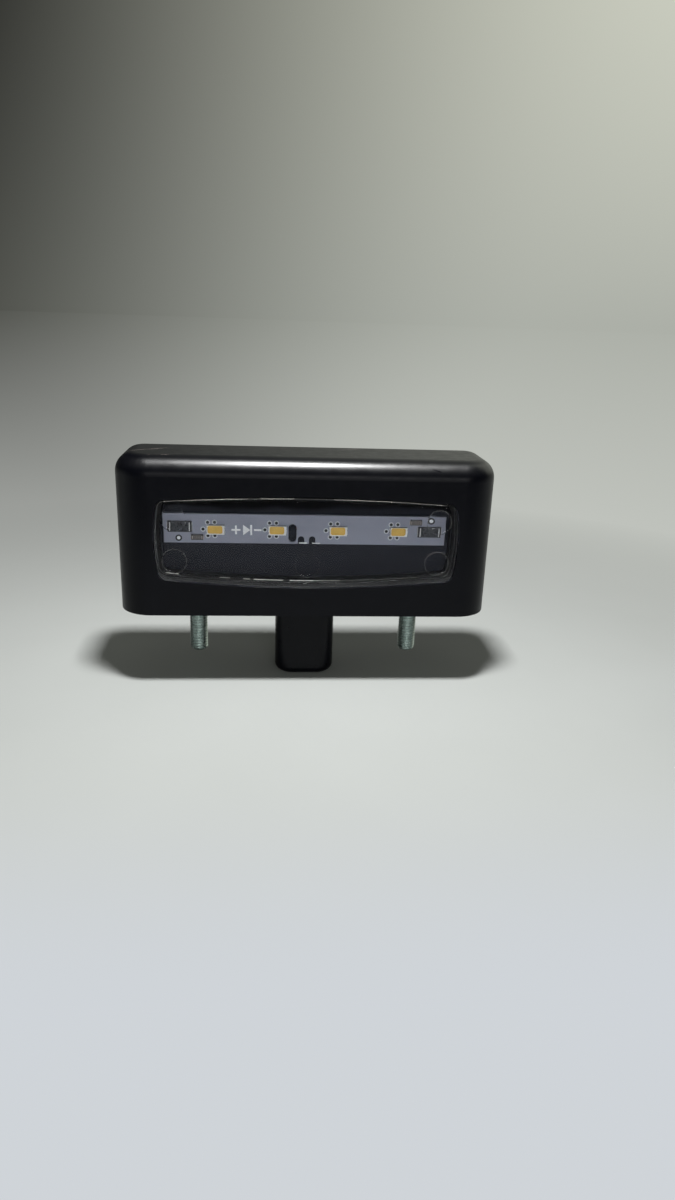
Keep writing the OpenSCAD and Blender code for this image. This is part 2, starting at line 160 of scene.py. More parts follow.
def bow_radius(half, bow):
    return (half * half + bow * bow) / (2 * bow)


def quarter(bow, margin, end_n=12, corner_n=12, long_n=40):
    """A quarter of the bowed window outline, from the middle of the right end to the top."""
    long_r, end_r = bow_radius(WINDOW_W / 2, bow), bow_radius(WINDOW_H / 2, END_BOW)
    long_c = Vector((0, WINDOW_H / 2 - long_r))
    end_c = Vector((WINDOW_W / 2 - end_r, 0))
    r1, r2 = long_r - WINDOW_R, end_r - WINDOW_R
    v = end_c - long_c
    d = v.length
    u = v / d
    t = (r1 * r1 - r2 * r2 + d * d) / (2 * d)
    corner = long_c + t * u + math.sqrt(r1 * r1 - t * t) * Vector((u.y, -u.x))
    if corner.x < 0:
        corner = long_c + t * u - math.sqrt(r1 * r1 - t * t) * Vector((u.y, -u.x))
    low = math.degrees(math.atan2(corner.y - end_c.y, corner.x - end_c.x))
    high = math.degrees(math.atan2(corner.y - long_c.y, corner.x - long_c.x))
    return ([(WINDOW_W / 2 + margin, 0)]
            + arc(end_c, end_r + margin, 0, low, end_n)
            + arc(corner, WINDOW_R + margin, low, high, corner_n)
            + arc(long_c, long_r + margin, high, 90, long_n))


def window(margin):
    """The window outline, larger by a margin, counter-clockwise seen from the front."""
    upper, lower = quarter(TOP_BOW, margin), quarter(BOTTOM_BOW, margin)
    points = (upper + [(-x, z) for x, z in upper[-2:0:-1]]
              + [(-x, -z) for x, z in lower] + [(x, -z) for x, z in lower[-2:0:-1]])
    return [(x, z + WINDOW_MID) for x, z in points]


def flat_shape(name, outlines, y0, y1):
    """A plate between two planes across Y, from an outline and the outlines of its holes."""
    curve = bpy.data.curves.new(name, "CURVE")
    curve.dimensions = "2D"
    curve.fill_mode = "BOTH"
    curve.extrude = abs(y1 - y0) / 2 * MM
    for outline in outlines:
        spline = curve.splines.new("POLY")
        spline.points.add(len(outline) - 1)
        for point, (x, z) in zip(spline.points, outline):
            point.co = (x * MM, z * MM, 0, 1)
        spline.use_cyclic_u = True
    holder = bpy.data.objects.new(name + "_curve", curve)
    bpy.context.scene.collection.objects.link(holder)
    dg = bpy.context.evaluated_depsgraph_get()
    mesh = bpy.data.meshes.new_from_object(holder.evaluated_get(dg))
    bpy.data.objects.remove(holder)
    bpy.data.curves.remove(curve)
    bm = bmesh.new()
    bm.from_mesh(mesh)
    bpy.data.meshes.remove(mesh)
    bmesh.ops.remove_doubles(bm, verts=bm.verts, dist=1e-7)
    for v in bm.verts:
        v.co = Vector((v.co.x, (y0 + y1) / 2 * MM - v.co.z, v.co.y))
    return bm


def join_into(bm, other):
    """Adds another bmesh to the first one."""
    mesh = bpy.data.meshes.new("part")
    other.to_mesh(mesh)
    other.free()
    bm.from_mesh(mesh)
    bpy.data.meshes.remove(mesh)


# Materials

class Nodes:
    """Short calls for the nodes of one node tree."""

    def __init__(self, tree):
        self.tree = tree

    def add(self, kind, **values):
        node = self.tree.nodes.new(kind)
        for key, value in values.items():
            setattr(node, key, value)
        return node

    def link(self, source, target):
        self.tree.links.new(source, target)

    def span(self, value, a, b, c, d):
        """Maps a to c and b to d, and stays between them."""
        node = self.add("ShaderNodeMapRange")
        for socket, number in zip(("From Min", "From Max", "To Min", "To Max"), (a, b, c, d)):
            node.inputs[socket].default_value = number
        self.link(value, node.inputs["Value"])
        return node.outputs["Result"]

    def smooth(self, value, a, b):
        """0 below a and 1 above b, with a soft turn at both."""
        node = self.add("ShaderNodeMapRange", interpolation_type="SMOOTHSTEP")
        node.inputs["From Min"].default_value = a
        node.inputs["From Max"].default_value = b
        self.link(value, node.inputs["Value"])
        return node.outputs["Result"]

    def math(self, operation, a, b=0.0):
        node = self.add("ShaderNodeMath", operation=operation)
        for socket, value in zip(node.inputs, (a, b)):
            if isinstance(value, (int, float)):
                socket.default_value = value
            else:
                self.link(value, socket)
        return node.outputs["Value"]

    def blend(self, factor, a, b):
        """A colour between a and b, which are colours or outputs."""
        node = self.add("ShaderNodeMix", data_type="RGBA")
        self.link(factor, node.inputs["Factor"])
        for socket, value in ((node.inputs[6], a), (node.inputs[7], b)):
            if isinstance(value, tuple):
                socket.default_value = (*value, 1.0)
            else:
                self.link(value, socket)
        return node.outputs[2]

    def axes(self, vector):
        """The three parts of a vector, by the names X, Y and Z."""
        node = self.add("ShaderNodeSeparateXYZ")
        self.link(vector, node.inputs[0])
        return node.outputs


class Finish(Nodes):
    """The nodes of one new material, with its shader and its output."""

    def __init__(self, name):
        self.material = bpy.data.materials.new(name)
        self.material.use_nodes = True
        super().__init__(self.material.node_tree)
        self.shader = self.tree.nodes["Principled BSDF"]
        self.output = self.tree.nodes["Material Output"]
        self.place = self.add("ShaderNodeTexCoord").outputs["Object"]

    def set(self, **values):
        for key, value in values.items():
            socket = self.shader.inputs[key.replace("_", " ")]
            socket.default_value = (*value, 1.0) if isinstance(value, tuple) else value

    def stretched(self, scale, turn=(0, 0, 0)):
        """The place, scaled by axis and turned."""
        node = self.add("ShaderNodeMapping")
        node.inputs["Scale"].default_value = scale
        node.inputs["Rotation"].default_value = turn
        self.link(self.place, node.inputs["Vector"])
        return node.outputs["Vector"]

    def noise(self, size, detail=3.0, rough=0.55, vector=None):
        """Noise whose features are about size millimetres across."""
        node = self.add("ShaderNodeTexNoise")
        node.inputs["Scale"].default_value = 1.0 / (size * MM)
        node.inputs["Detail"].default_value = detail
        node.inputs["Roughness"].default_value = rough
        self.link(vector or self.place, node.inputs["Vector"])
        return node.outputs["Fac"]

    def spots(self, size, vector=None):
        node = self.add("ShaderNodeTexVoronoi")
        node.inputs["Scale"].default_value = 1.0 / (size * MM)
        self.link(vector or self.place, node.inputs["Vector"])
        return node.outputs["Distance"]

    def colour(self, value):
        self.link(value, self.shader.inputs["Base Color"])

    def roughness(self, value):
        self.link(value, self.shader.inputs["Roughness"])

    def bump(self, *heights):
        """Bumps in millimetres: pairs of a value from 0 to 1 and its height."""
        normal = None
        for value, height in heights:
            node = self.add("ShaderNodeBump")
            node.inputs["Strength"].default_value = 1.0
            node.inputs["Distance"].default_value = height * MM
            self.link(value, node.inputs["Height"])
            if normal:
                self.link(normal, node.inputs["Normal"])
            normal = node.outputs["Normal"]
        self.link(normal, self.shader.inputs["Normal"])

    def streak(self, start, end, width):
        """1 on a thin line between two points in millimetres, and 0 beside it."""
        a, b = Vector(start) * MM, Vector(end) * MM
        along = (b - a).normalized()
        from_mid = self.add("ShaderNodeVectorMath", operation="SUBTRACT")
        self.link(self.place, from_mid.inputs[0])
        from_mid.inputs[1].default_value = (a + b) / 2
        dot = self.add("ShaderNodeVectorMath", operation="DOT_PRODUCT")
        self.link(from_mid.outputs[0], dot.inputs[0])
        dot.inputs[1].default_value = along
        t = dot.outputs["Value"]
        length = self.add("ShaderNodeVectorMath", operation="LENGTH")
        self.link(from_mid.outputs[0], length.inputs[0])
        far = length.outputs["Value"]
        square = self.math("SUBTRACT", self.math("MULTIPLY", far, far), self.math("MULTIPLY", t, t))
        side = self.math("SQRT", self.math("MAXIMUM", square, 0.0))
        half = (b - a).length / 2
        across = self.span(side, 0.0, width * MM, 1.0, 0.0)
        inside = self.span(self.math("ABSOLUTE", t), half * 0.6, half, 1.0, 0.0)
        return self.math("MULTIPLY", across, inside)


def moulded_black(name, tone=1.0, rough=0.33):
    """Satin black plastic: fine grain, a faint cloudiness and hairline scratches.

    It shines most where it slopes up, as on the rounded upper edge; the level of that shine is kept."""
    n = Finish(name)
    cloud = n.noise(9.0, 4.0)
    dark, pale = (tuple(c * tone for c in colour)
                  for colour in ((0.0021, 0.0024, 0.0042), (0.0034, 0.0038, 0.0062)))
    n.colour(n.blend(n.span(cloud, 0.3, 0.7, 0.0, 1.0), dark, pale))
    hair = n.spots(1.0, n.stretched((0.05, 1.0, 1.6), turn=(0, 0.5, 0.2)))
    n.roughness(n.math("ADD", n.span(n.noise(2.2, 5.0), 0.3, 0.7, rough - 0.03, rough + 0.04),
                       n.span(hair, 0.0, 0.06, 0.05, 0.0)))
    n.bump((n.noise(0.35, 2.0), 0.010), (n.noise(6.0, 2.0), 0.02))
    rise = n.axes(n.add("ShaderNodeNewGeometry").outputs["Normal"])["Z"]
    shine = n.math("MULTIPLY", n.smooth(rise, 0.28, 0.60),
                   n.math("SUBTRACT", 1.0, n.smooth(rise, 0.76, 0.92)))
    flat = n.span(rise, 0.1, 0.98, 0.135, 0.27)
    n.level = n.math("ADD", flat, n.math("MULTIPLY", shine, 0.80))
    n.link(n.level, n.shader.inputs["Specular IOR Level"])
    return n


def housing_plastic():
    """The housing's plastic, with its scuffs on the top and the nick in the edge at the right."""
    n = moulded_black("housing_plastic")
    patch = n.noise(0.9, 5.0, 0.75)
    scuffs = [((-47.0, -4.0, 62.1), (-36.5, 2.8, 62.2), 0.45, 0.40),
              ((-42.0, -8.7, 62.1), (-34.5, -8.4, 62.1), 0.55, 0.50),
              ((9.0, 4.4, 62.2), (15.0, 7.3, 62.2), 0.40, 0.40),
              ((-44.0, -2.0, 62.2), (-39.0, 0.2, 62.2), 0.30, 0.45)]
    worn = None
    for start, end, width, least in scuffs:
        line = n.math("MULTIPLY", n.streak(start, end, width), n.span(patch, least, least + 0.15, 0.0, 1.0))
        worn = line if worn is None else n.math("MAXIMUM", worn, line)
    nick = n.streak((31.6, -12.0, 60.45), (34.4, -12.35, 59.6), 0.28)
    base = n.shader.inputs["Base Color"].links[0].from_socket
    n.colour(n.blend(worn, base, (0.17, 0.145, 0.135)))
    rough = n.shader.inputs["Roughness"].links[0].from_socket
    n.roughness(n.math("ADD", rough, n.math("MULTIPLY", worn, 0.2)))
    level = n.math("MULTIPLY", n.level, n.math("SUBTRACT", 1.0, nick))
    n.link(level, n.shader.inputs["Specular IOR Level"])
    return n.material


def base_plastic():
    return moulded_black("base_plastic", tone=0.9, rough=0.3).material


def tray_plastic():
    """Dark grey plastic behind the pane, with moulding streaks; duller to the right, and painted shade at
    the top: black and less shiny there, where the frame above would shade it.
    """
    n = Finish("tray_plastic")
    streaks = n.noise(3.0, 4.0, vector=n.stretched((0.25, 1.0, 1.0)))
    left = n.blend(n.span(streaks, 0.3, 0.7, 0.0, 1.0), (0.0088, 0.0096, 0.0152), (0.0128, 0.0140, 0.0208))
    at = n.axes(n.place)
    base = n.blend(n.smooth(at["X"], -0.04, 0.03), left, (0.0028, 0.0040, 0.0098))
    # Painted shade: a black, less shiny band along the top, with a wavy lower edge.
    wave = n.math("ADD", at["Z"], n.span(n.noise(14.0, 2.0, 0.4), 0.3, 0.7, -0.0009, 0.0009))
    painted_shade = n.smooth(wave, 0.0474, 0.0492)
    n.colour(n.blend(painted_shade, base, (0.0018, 0.0018, 0.0022)))
    n.roughness(n.span(n.noise(1.0, 3.0), 0.3, 0.7, 0.45, 0.6))
    n.bump((n.noise(0.25, 2.0), 0.02))
    n.link(n.span(painted_shade, 0.0, 1.0, 0.18, 0.03), n.shader.inputs["Specular IOR Level"])
    return n.material


def clear_plastic(name, index):
    """Clear moulded plastic; lamps shine through it, and faint rubbing shows on it."""
    n = Finish(name)
    n.set(Base_Color=CLEAR, Transmission_Weight=1.0, IOR=index)
    rub = n.spots(1.0, n.stretched((0.12, 1.0, 1.0), turn=(0, 0.35, 0)))
    n.roughness(n.span(rub, 0.0, 0.05, 0.05, 0.0))
    n.bump((n.noise(5.0, 2.0), 0.010))
    return let_lamps_through(n, n.shader.outputs["BSDF"])


def let_lamps_through(n, surface):
    """The surface for the eye, and a tinted clear sheet for the light of the lamps."""
    through = n.add("ShaderNodeBsdfTransparent")
    through.inputs["Color"].default_value = (*LAMP_TINT, 1.0)
    rays = n.add("ShaderNodeLightPath")
    mix = n.add("ShaderNodeMixShader")
    n.link(rays.outputs["Is Shadow Ray"], mix.inputs["Fac"])
    n.link(surface, mix.inputs[1])
    n.link(through.outputs["BSDF"], mix.inputs[2])
    n.link(mix.outputs["Shader"], n.output.inputs["Surface"])
    return n.material


def box_mask(n, x0, x1, z0, z1, soft=0.3):
    """1 inside a box in X and Z in millimetres, with soft edges."""
    at = n.axes(n.place)
    in_x, in_z = (n.math("SUBTRACT", n.smooth(at[axis], (low - soft) * MM, (low + soft) * MM),
                         n.smooth(at[axis], (high - soft) * MM, (high + soft) * MM))
                  for axis, low, high in (("X", x0, x1), ("Z", z0, z1)))
    return n.math("MULTIPLY", in_x, in_z)


def edge_glint(name, kind, runs, faint=0.0, colour=(0.92, 0.90, 0.83), **values):
    """A painted glint on an edge of the lens: a bright shader mixed into the clear plastic, faint all round
    and stronger in some runs.

    A run is a box in X and Z and a strength; the kind is the bright shader that is mixed in."""
    n = Finish(name)
    n.set(Base_Color=CLEAR, Transmission_Weight=1.0, IOR=RIM_IOR, Roughness=0.03)
    fine = n.span(n.noise(1.2, 3.0, 0.6, n.stretched((0.4, 1.0, 1.0))), 0.3, 0.6, 0.7, 1.0)
    n.bump((n.noise(0.6, 3.0), 0.02))
    total = faint
    for x0, x1, z0, z1, strength in runs:
        total = n.math("MAXIMUM", n.math("MULTIPLY", box_mask(n, x0, x1, z0, z1), strength), total)
    bright = n.add(kind)
    bright.inputs["Color"].default_value = (*colour, 1.0)
    for key, value in values.items():
        bright.inputs[key].default_value = value
    mix = n.add("ShaderNodeMixShader")
    n.link(n.math("MULTIPLY", fine, total), mix.inputs["Fac"])
    n.link(n.shader.outputs["BSDF"], mix.inputs[1])
    n.link(bright.outputs["BSDF"], mix.inputs[2])
    return let_lamps_through(n, mix.outputs["Shader"])


def lens_materials():
    """Pane, rim, and the painted glints on the rounded front edge, at the root of the skirt and on the
    ejector rings.
    """
    top, foot = (49.5, 54.0), (27.0, 31.4)
    glint = [(-39.5, -30.0, *top, 0.8), (-30.5, -15.5, *top, 1.0), (-12.4, -3.8, *top, 1.0),
             (-16.0, -12.0, *top, 0.1), (-4.0, 7.0, *top, 0.08), (6.5, 22.0, *top, 0.8),
             (21.5, 36.0, *top, 0.45)]
    root = [(-37.4, -34.0, *foot, 1.0), (-23.3, -20.4, *foot, 0.45), (-17.0, -15.2, *foot, 0.7),
            (-14.2, -6.4, *foot, 1.0), (-4.5, 2.0, *foot, 1.0), (1.5, 9.0, *foot, 0.45),
            (8.5, 30.0, *foot, 0.15)]
    rings = [(-39, -31, 31, 39, 0.08), (31, 39, 31, 39, 0.09), (31, 39.5, 44, 50, 0.13)]
    # The last three are painted glints: bright shaders mixed into the edges in runs.
    return (clear_plastic("clear_pane", PANE_IOR), clear_plastic("clear_rim", RIM_IOR),
            edge_glint("glint_front", "ShaderNodeBsdfGlossy", glint, 0.05, Roughness=0.25),
            edge_glint("root_glint", "ShaderNodeBsdfTranslucent", root, 0.03),
            edge_glint("ring_glint", "ShaderNodeBsdfDiffuse", rings, 0.02))


def zinc():
    """Zinc plating with a cold greenish cast, brighter and duller in small patches."""
    n = Finish("zinc_plate")
    patch = n.span(n.noise(0.8, 5.0, 0.65), 0.32, 0.68, 0.0, 1.0)
    n.colour(n.blend(patch, (0.42, 0.50, 0.48), (0.66, 0.74, 0.71)))
    n.roughness(n.span(n.noise(0.5, 4.0), 0.3, 0.7, 0.24, 0.42))
    n.bump((n.noise(0.2, 3.0), 0.008))
    n.set(Metallic=1.0)
    return n.material


def tin():
    """Bright solder and tinned metal."""
    n = Finish("tin")
    patch = n.span(n.noise(0.5, 4.0, 0.6), 0.35, 0.65, 0.0, 1.0)
    n.colour(n.blend(patch, (0.55, 0.55, 0.56), (0.82, 0.82, 0.80)))
    n.roughness(n.span(n.noise(0.3, 3.0), 0.3, 0.7, 0.2, 0.4))
    n.bump((n.noise(0.4, 3.0), 0.02))
    n.set(Metallic=1.0)
    return n.material


def dull_metal(name, low, high, rough=0.4):
    """Plated terminal or copper pad, slightly uneven."""
    n = Finish(name)
    n.colour(n.blend(n.span(n.noise(0.4, 4.0, 0.6), 0.35, 0.65, 0.0, 1.0), low, high))
    n.roughness(n.span(n.noise(0.25, 3.0), 0.3, 0.7, rough - 0.08, rough + 0.1))
    n.bump((n.noise(0.3, 3.0), 0.01))
    n.set(Metallic=0.8)
    return n.material


def solder_mask():
    """White board lacquer, a little blue and cloudy, over faint tracks and a glass weave."""
    n = Finish("solder_mask")
    cloud = n.span(n.noise(6.0, 4.0), 0.3, 0.7, 0.0, 1.0)
    base = n.blend(cloud, (0.240, 0.248, 0.302), (0.272, 0.280, 0.338))
    speck = n.span(n.spots(1.6), 0.0, 0.09, 1.0, 0.0)
    n.colour(n.blend(n.math("MULTIPLY", speck, 0.5), base, (0.2, 0.2, 0.23)))
    n.roughness(n.span(n.noise(1.5, 3.0), 0.3, 0.7, 0.35, 0.5))
    weave = n.add("ShaderNodeTexWave", wave_type="BANDS", bands_direction="DIAGONAL")
    weave.inputs["Scale"].default_value = 900.0
    weave.inputs["Distortion"].default_value = 0.6
    n.link(n.place, weave.inputs["Vector"])
    n.bump((weave.outputs["Fac"], 0.003), (n.noise(1.2, 2.0), 0.01))
    return n.material


def grain(name, low, high, size, rough, height=0.01, **values):
    """A plain fine-grained surface between two tones."""
    n = Finish(name)
    n.colour(n.blend(n.span(n.noise(size, 4.0, 0.6), 0.33, 0.67, 0.0, 1.0), low, high))
    n.roughness(n.span(n.noise(size * 0.6, 3.0), 0.3, 0.7, rough - 0.06, rough + 0.08))
    n.bump((n.noise(size * 0.5, 3.0), height))
    n.set(**values)
    return n.material


def adhesive():
    """Bead of adhesive, black, and grey in blotches at the ends."""
    n = Finish("adhesive")
    ends = n.smooth(n.math("ABSOLUTE", n.axes(n.place)["X"]), 0.0365, 0.0385)
    end_blotches = n.span(n.noise(1.6, 4.0, 0.6), 0.33, 0.67, 0.3, 1.0)
    n.colour(n.blend(n.math("MULTIPLY", ends, end_blotches), (0.006, 0.006, 0.007), (0.045, 0.045, 0.043)))
    n.roughness(n.span(n.noise(1.0, 3.0), 0.3, 0.7, 0.3, 0.5))
    n.bump((n.noise(0.8, 3.0), 0.04))
    return n.material


def phosphor():
    """Yellow silicone with grains of phosphor."""
    n = Finish("phosphor")
    fine = n.span(n.noise(0.12, 3.0, 0.7), 0.3, 0.7, 0.0, 1.0)
    broad = n.span(n.noise(1.5, 2.0), 0.3, 0.7, 0.0, 1.0)
    tone = n.blend(broad, (0.63, 0.370, 0.046), (0.73, 0.440, 0.062))
    n.colour(n.blend(n.math("MULTIPLY", fine, 0.35), tone, (0.76, 0.54, 0.17)))
    n.roughness(n.span(fine, 0.0, 1.0, 0.3, 0.5))
    n.bump((fine, 0.012))
    return n.material


def pale_floor():
    """Matt pale floor, which fades into the pale surroundings away from the lamp.

    Mirrors see the dark room in place of its part before the camera."""
    n = Finish("pale_floor")
    at = n.axes(n.place)
    before = n.math("MULTIPLY", at["Y"], -1.0)
    flat = n.add("ShaderNodeCombineXYZ")
    n.link(at["X"], flat.inputs["X"])
    n.link(n.math("ADD", at["Y"], 0.03), flat.inputs["Y"])
    length = n.add("ShaderNodeVectorMath", operation="LENGTH")
    n.link(flat.outputs[0], length.inputs[0])
    radius = length.outputs["Value"]
    unit = n.add("ShaderNodeVectorMath", operation="NORMALIZE")
    n.link(flat.outputs[0], unit.inputs[0])
    side = n.axes(unit.outputs[0])
    far = n.blend(n.smooth(side["Y"], 0.1, 0.4), FRONT_FLOOR, horizon(n, side["X"]))
    away = n.math("DIVIDE", radius, n.math("ADD", radius, 0.24))
    shine = n.add("ShaderNodeEmission")
    near = n.smooth(before, 0.04, 0.125)
    n.link(n.blend(near, n.blend(away, (0.64, 0.66, 0.63), far), FRONT_FLOOR), shine.inputs["Color"])
    n.link(seen(n), shine.inputs["Strength"])
    cloud = n.span(n.noise(60.0, 3.0), 0.3, 0.7, 0.0, 1.0)
    n.colour(n.blend(cloud, (0.620, 0.645, 0.625), (0.645, 0.67, 0.65)))
    n.set(Roughness=0.85, Specular_IOR_Level=0.15)
    mix = n.add("ShaderNodeMixShader")
    n.link(n.math("MAXIMUM", n.span(radius, 0.075, 0.27, 0.0, 1.0), near), mix.inputs["Fac"])
    n.link(n.shader.outputs["BSDF"], mix.inputs[1])
    n.link(shine.outputs["Emission"], mix.inputs[2])
    rays = n.add("ShaderNodeLightPath")
    unseen = n.math("MULTIPLY", rays.outputs["Is Glossy Ray"], n.smooth(before, 0.15, 0.20))
    dark = n.add("ShaderNodeEmission")
    dark.inputs["Color"].default_value = (*DARK_ROOM, 1.0)
    whole = n.add("ShaderNodeMixShader")
    n.link(unseen, whole.inputs["Fac"])
    n.link(mix.outputs["Shader"], whole.inputs[1])
    n.link(dark.outputs["Emission"], whole.inputs[2])
    n.link(whole.outputs["Shader"], n.output.inputs["Surface"])
    return n.material


def seen(n):
    """1 for camera, mirror and glass rays."""
    rays = n.add("ShaderNodeLightPath")
    return n.math("MAXIMUM", rays.outputs["Is Camera Ray"],
                  n.math("MAXIMUM", rays.outputs["Is Glossy Ray"], rays.outputs["Is Transmission Ray"]))


def horizon(n, x):
    """Colour of the pale surroundings at the floor's height: duller to the left."""
    return n.blend(n.smooth(x, -0.45, 0.32), (0.044, 0.045, 0.038), (0.415, 0.432, 0.39))


def surround(n, x, z):
    """Colour of the pale surroundings by direction: duller to the left, and there more so upwards."""
    upper = n.blend(n.smooth(x, -0.38, 0.48), (0.001, 0.001, 0.001), (0.60, 0.615, 0.53))
    return n.blend(n.span(z, 0.0, 0.29, 0.0, 1.0), horizon(n, x), upper)


# Pieces

def ride(obj, *nodes, slot=None):
    """Ties a piece to the lamp, in place of the CAD nodes that it stands for; its slot is not used."""
    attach(obj, "root")
    if nodes:
        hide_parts(*nodes)
    return obj


def lens_profile(rim, front_edge, root_edge):
    """Inset, Y and material along the lens, from the pane's front round the skirt to the pane's back."""
    back_y, end_y = LENS_Y + PANE_T, LENS_Y + LENS_DEPTH
    steps, chamfer, root, root_steps = 8, 0.15, 0.5, 5
    profile = []
    for i in range(steps + 1):
        a = math.pi / 2 * i / steps
        profile.append((FACE_R * (1 - math.sin(a)), LENS_Y + FACE_R * (1 - math.cos(a)),
                        front_edge if 1 <= i < 4 else rim))
    profile += [(0, end_y - chamfer, rim), (chamfer, end_y, rim), (SKIRT_T - chamfer, end_y, rim),
                (SKIRT_T, end_y - chamfer, rim)]
    for i in range(root_steps + 1):
        a = math.pi / 2 * i / root_steps
        profile.append((SKIRT_T + root * (1 - math.cos(a)), back_y + root * (1 - math.sin(a)),
                        root_edge if i < 4 else rim))
    return profile


def pane_back(inset, y):
    """The pane's flat back, with a round hole for each ejector mark."""
    holes = [circle(x, z, MARK_R, 64) for x, z in MARKS]
    sheet = flat_shape("pane_back", [window(-LENS_GAP - inset)] + holes, y, y + 1.0)
    others = [f for f in sheet.faces if any(abs(v.co.y - y * MM) > 1e-6 for v in f.verts)]
    bmesh.ops.delete(sheet, geom=others, context="FACES")
    return sheet


def lens(*materials):
    """Clear lens: rounded pane, skirt, and the round ejector marks on the pane's back.

    The materials are for the pane, the rim, and the painted glints on the front edge, the root and the
    rings."""
    pane, rim, front_edge, root_edge, ring = range(5)
    profile = lens_profile(rim, front_edge, root_edge)
    back_y = LENS_Y + PANE_T
    bm = bmesh.new()
    loops = [at_y(window(-LENS_GAP - inset), y) for inset, y, _ in profile]
    add_loops(bm, loops, materials=[kind for _, _, kind in profile[:-1]])
    bm.verts.ensure_lookup_table()
    bm.faces.new([bm.verts[i] for i in range(len(loops[0]))][::-1])
    join_into(bm, pane_back(profile[-1][0], back_y))
    for x, z in MARKS:
        edge = [(MARK_R, 0.0), (MARK_R - 0.05, 0.5), (MARK_R - 0.16, 1.1), (MARK_R - 0.28, 0.7),
                (MARK_R * 0.5, 0.6)]
        add_loops(bm, [at_y(circle(x, z, r, 64), back_y - MARK_DEPTH * deep) for r, deep in edge],
                  last_cap=True, materials=[ring, ring, ring, pane, pane])
    bmesh.ops.remove_doubles(bm, verts=bm.verts, dist=2e-6)
    obj = from_bmesh("clear_lens", bm, 40)
    for material in materials:
        obj.data.materials.append(material)
    return ride(obj, "lens", slot="lens_clear")


def thread_profile():
    """Phase along one pitch and radius of the thread."""
    return [(0.00, STUD_R - 0.02), (0.06, STUD_R), (0.12, STUD_R - 0.02), (0.25, STUD_R - 0.20),
            (0.40, ROOT_R + 0.05), (0.48, ROOT_R), (0.56, ROOT_R), (0.64, ROOT_R + 0.05),
            (0.78, STUD_R - 0.22), (0.92, STUD_R - 0.05)]


def add_rings(bm, x, rings, n, **caps):
    """Skins horizontal rings, given by radius and height, round an upright axis."""
    add_loops(bm, [[(x + p, q, z) for p, q in circle(0, 0, r, n)] for r, z in rings], **caps)


def add_thread(bm, x, turn, low, high, around):
    """Rolled thread between two heights, cut off at a chamfer below and fading into the relief above."""
    profile = thread_profile()
    per = len(profile)
    turns = int((high - low) / PITCH) + 3

    def radius(z, r):
        chamfer = STUD_R - CHAMFER + (z - low)
        fade = STUD_R - RELIEF + max(0.0, high - 0.25 - z) * 1.4
        return max(min(r, chamfer, fade), 1.0)

    def vert(i, k):
        phase, r = profile[k % per]
        z = low - 2 * PITCH + (k // per + phase + i / around) * PITCH
        z = min(max(z, low), high)
        a = turn + 2 * math.pi * i / around
        r = radius(z, r)
        return bm.verts.new(((x + r * math.cos(a)) * MM, r * math.sin(a) * MM, z * MM))

    rows = [[vert(i, k) for i in range(around + 1)] for k in range(turns * per)]
    for a, b in zip(rows, rows[1:]):
        for i in range(around):
            bm.faces.new((a[i], a[i + 1], b[i + 1], b[i]))
    bmesh.ops.remove_doubles(bm, verts=bm.verts, dist=2e-6)
    bmesh.ops.dissolve_degenerate(bm, edges=bm.edges, dist=1e-6)


def stud(name, node, x, turn, material):
    """Mounting stud: rolled thread with a chamfered tip, relief, collar and hexagonal head."""
    bm = bmesh.new()
    around = 48
    low, high = STUD_TIP, MOUNT_Z - 0.5
    add_thread(bm, x, turn, low, high, around)
    neck = STUD_R - RELIEF
    add_rings(bm, x, [(neck, high), (neck, MOUNT_Z), (COLLAR_R, MOUNT_Z), (COLLAR_R, HEAD_Z)], around)
    add_rings(bm, x, [(1.0, low), (STUD_R - CHAMFER, low)], around, first_cap=True)
    corner, c = HEAD_R, HEAD_CHAMFER
    head = [(corner - c, HEAD_Z), (corner, HEAD_Z + c), (corner, HEAD_TOP - c), (corner - c, HEAD_TOP)]
    add_rings(bm, x, head, 6, first_cap=True, last_cap=True)
    obj = from_bmesh(name, bm, 50)
    obj.data.materials.append(material)
    return ride(obj, node, slot="stud_zinc")


def board_outline():
    """The board's edge, with its two notches, seen from the front."""
    left, right = BOARD_X - BOARD_W / 2, BOARD_X + BOARD_W / 2
    low, high = BOARD_MID - BOARD_H / 2, BOARD_MID + BOARD_H / 2
    points = [(left, high), (left, low)]
    r, depth = NOTCH_R, NOTCH_H
    for side in (-1, 1):
        x = BOARD_X + NOTCH_MID + side * NOTCH_PITCH / 2
        points.append((x - r, low))
        for i in range(13):
            a = math.radians(15 * i)
            points.append((x - r * math.cos(a), low + depth - r + r * math.sin(a)))
        points.append((x + r, low))
    return points + [(right, low), (right, high)]


def via_places():
    return [(x + dx, LED_Z + dz) for x in LED_X for dx, dz in VIAS]


def board(mask):
    """Circuit board with its slot, notches and drilled holes."""
    slot = rounded(SLOT_W, SLOT_H, SLOT_W / 2 - 0.01, BOARD_X + SLOT_AT[0], BOARD_MID + SLOT_AT[1], 10)
    holes = [circle(x, z, VIA_R, 20) for x, z in via_places()]
    plate = flat_shape("board", [board_outline(), slot] + holes, BOARD_Y, TRAY_Y)
    obj = from_bmesh("lamp_board", plate, 30)
    obj.data.materials.append(mask)
    return ride(obj, "circuit_board", slot="board_white")


